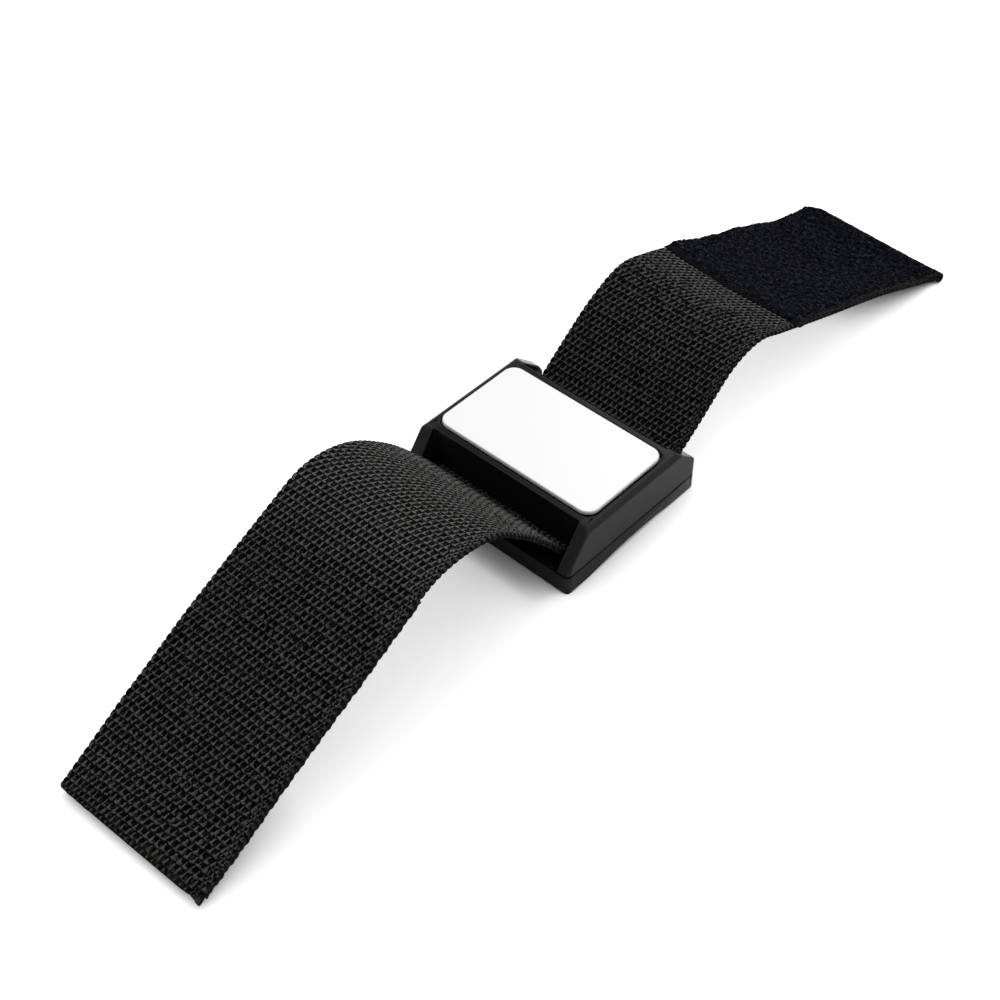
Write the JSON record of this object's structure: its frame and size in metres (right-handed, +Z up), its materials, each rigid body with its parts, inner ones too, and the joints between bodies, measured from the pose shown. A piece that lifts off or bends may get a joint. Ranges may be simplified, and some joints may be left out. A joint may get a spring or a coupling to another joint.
{
  "type": "magnetic wristband",
  "caption": "Webbing wristband with a moulded magnet case and white steel face that holds small screws, closed by hook and loop tape.",
  "frame": {"origin": "on the table under the middle of the case, which is the middle of the opened band's box", "axes": "+X along the opened band towards the loop pad, +Y across it, +Z up through the face plate"},
  "size_m": [0.3088, 0.06, 0.04],
  "materials": {
    "shell_plastic": "satin moulded black",
    "white_enamel": "smooth white enamel",
    "adhesive_film": "double-sided film",
    "ferrite": "pressed and ground",
    "yoke_steel": "zinc plated sheet",
    "webbing": "coarse woven polypropylene",
    "hook_nylon": "moulded hooks on woven tape",
    "loop_pile": "brushed loop pile"
  },
  "bodies": {
    "case": {"base_tray": "shell_plastic", "cover_shell": "shell_plastic", "face_plate": "white_enamel", "adhesive_film": "adhesive_film", "ferrite_magnet_1": "ferrite", "ferrite_magnet_2": "ferrite", "steel_yoke": "yoke_steel", "band_core": "webbing"},
    "near_length_1": {"near_band_1": "webbing"},
    "near_length_2": {"near_band_2": "webbing"},
    "near_length_3": {"near_band_3": "webbing"},
    "near_length_4": {"near_band_4": "webbing", "hook_tape_1": "hook_nylon"},
    "near_length_5": {"near_band_5": "webbing", "hook_tape_2": "hook_nylon"},
    "near_length_6": {"near_band_6": "webbing", "hook_tape_3": "hook_nylon"},
    "far_length_1": {"far_band_1": "webbing"},
    "far_length_2": {"far_band_2": "webbing"},
    "far_length_3": {"far_band_3": "webbing"},
    "far_length_4": {"far_band_4": "webbing", "loop_pad_1": "loop_pile"},
    "far_length_5": {"far_band_5": "webbing", "loop_pad_2": "loop_pile"},
    "far_length_6": {"far_band_6": "webbing", "loop_pad_3": "loop_pile"}
  },
  "joints": [
    {"name": "near_wrap", "type": "hinge", "parent": "case", "child": "near_length_1", "pos_m": [-0.0195, 0, 0.0041], "axis": [0, -1, 0], "range_deg": [-7.75, 31], "stiffness_Nm_per_rad": 0.16},
    {"name": "near_bend_2", "type": "hinge", "parent": "near_length_1", "child": "near_length_2", "pos_m": [-0.02747, 0, 0.01437], "axis": [0, -1, 0], "range_deg": [-16.05, 64.05], "stiffness_Nm_per_rad": 0.16},
    {"name": "near_bend_3", "type": "hinge", "parent": "near_length_2", "child": "near_length_3", "pos_m": [-0.04605, 0, 0.03239], "axis": [0, -1, 0], "range_deg": [-2.45, 9.65], "stiffness_Nm_per_rad": 0.14},
    {"name": "near_bend_4", "type": "hinge", "parent": "near_length_3", "child": "near_length_4", "pos_m": [-0.07379, 0, 0.03767], "axis": [0, -1, 0], "range_deg": [-2.05, 8.05], "stiffness_Nm_per_rad": 0.12},
    {"name": "near_bend_5", "type": "hinge", "parent": "near_length_4", "child": "near_length_5", "pos_m": [-0.09938, 0, 0.02639], "axis": [0, -1, 0], "range_deg": [-4.35, 17.25], "stiffness_Nm_per_rad": 0.1},
    {"name": "near_bend_6", "type": "hinge", "parent": "near_length_5", "child": "near_length_6", "pos_m": [-0.12427, 0, 0.01356], "axis": [0, -1, 0], "range_deg": [-11.2, 44.65], "stiffness_Nm_per_rad": 0.08},
    {"name": "far_wrap", "type": "hinge", "parent": "case", "child": "far_length_1", "pos_m": [0.0195, 0, 0.0041], "axis": [0, 1, 0], "range_deg": [-4.88, 19.5], "stiffness_Nm_per_rad": 0.16},
    {"name": "far_bend_2", "type": "hinge", "parent": "far_length_1", "child": "far_length_2", "pos_m": [0.02975, 0, 0.01209], "axis": [0, 1, 0], "range_deg": [-16.05, 64.05], "stiffness_Nm_per_rad": 0.16},
    {"name": "far_bend_3", "type": "hinge", "parent": "far_length_2", "child": "far_length_3", "pos_m": [0.04994, 0, 0.02673], "axis": [0, 1, 0], "range_deg": [-3.55, 14.05], "stiffness_Nm_per_rad": 0.14},
    {"name": "far_bend_4", "type": "hinge", "parent": "far_length_3", "child": "far_length_4", "pos_m": [0.07582, 0, 0.02467], "axis": [0, 1, 0], "range_deg": [-3.05, 12.05], "stiffness_Nm_per_rad": 0.12},
    {"name": "far_bend_5", "type": "hinge", "parent": "far_length_4", "child": "far_length_5", "pos_m": [0.1012, 0, 0.01546], "axis": [0, 1, 0], "range_deg": [-9.93, 39.55], "stiffness_Nm_per_rad": 0.1},
    {"name": "far_bend_6", "type": "hinge", "parent": "far_length_5", "child": "far_length_6", "pos_m": [0.12592, 0, 0.00742], "axis": [0, 1, 0], "range_deg": [-10.05, 40.05], "stiffness_Nm_per_rad": 0.08}
  ],
  "couplings": [
    {"joint": "near_bend_2", "follows": "near_wrap", "ratio": 2.0645},
    {"joint": "near_bend_3", "follows": "near_wrap", "ratio": 0.30968},
    {"joint": "near_bend_4", "follows": "near_wrap", "ratio": 0.25806},
    {"joint": "near_bend_5", "follows": "near_wrap", "ratio": 0.55484},
    {"joint": "near_bend_6", "follows": "near_wrap", "ratio": 1.4387},
    {"joint": "far_bend_2", "follows": "far_wrap", "ratio": 3.2821},
    {"joint": "far_bend_3", "follows": "far_wrap", "ratio": 0.71795},
    {"joint": "far_bend_4", "follows": "far_wrap", "ratio": 0.61538},
    {"joint": "far_bend_5", "follows": "far_wrap", "ratio": 2.0256},
    {"joint": "far_bend_6", "follows": "far_wrap", "ratio": 2.0513}
  ]
}
